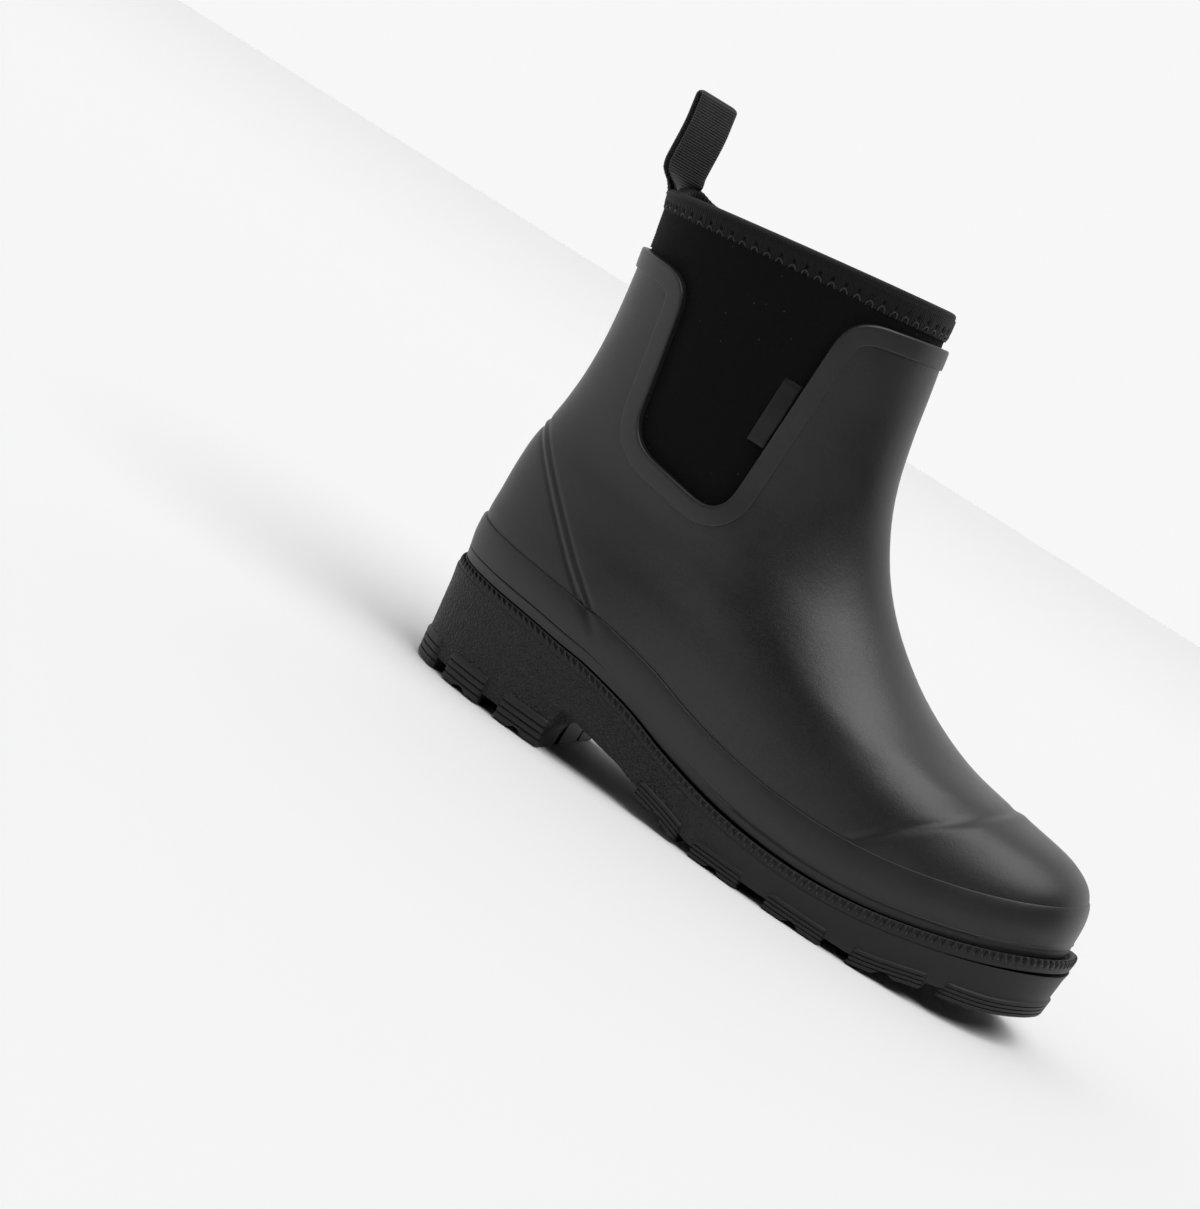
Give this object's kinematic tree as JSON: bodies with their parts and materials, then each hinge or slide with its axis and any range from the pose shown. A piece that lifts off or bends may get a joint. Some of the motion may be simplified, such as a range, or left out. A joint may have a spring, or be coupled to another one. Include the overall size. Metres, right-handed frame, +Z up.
{
  "type": "ankle rain boot",
  "caption": "Rubber ankle rain boot with neoprene side panels, knitted collar binding, webbing pull loop, roped welt, stacked heel and lugged sole",
  "frame": {"origin": "middle of the bounding box's bottom, on the floor under the sole", "axes": "+X toward the toe, +Y toward the inner side of the foot, +Z up"},
  "size_m": [0.2998, 0.1064, 0.2435],
  "materials": {
    "upper_rubber": "smooth matte dark grey rubber",
    "sole_rubber": "matte black rubber with a pebbled side",
    "neoprene": "near-black neoprene with a short felt face",
    "knit": "black ribbed knit with a slight shine",
    "webbing": "charcoal ribbed webbing"
  },
  "bodies": {
    "root": {"outsole": "sole_rubber", "welt": "sole_rubber", "insole": "neoprene", "upper": "upper_rubber", "rand": "upper_rubber", "edge_tape": "upper_rubber", "neoprene_liner": "neoprene", "collar_binding": "knit", "side_tag": "upper_rubber", "pull_loop": "webbing"}
  },
  "joints": []
}
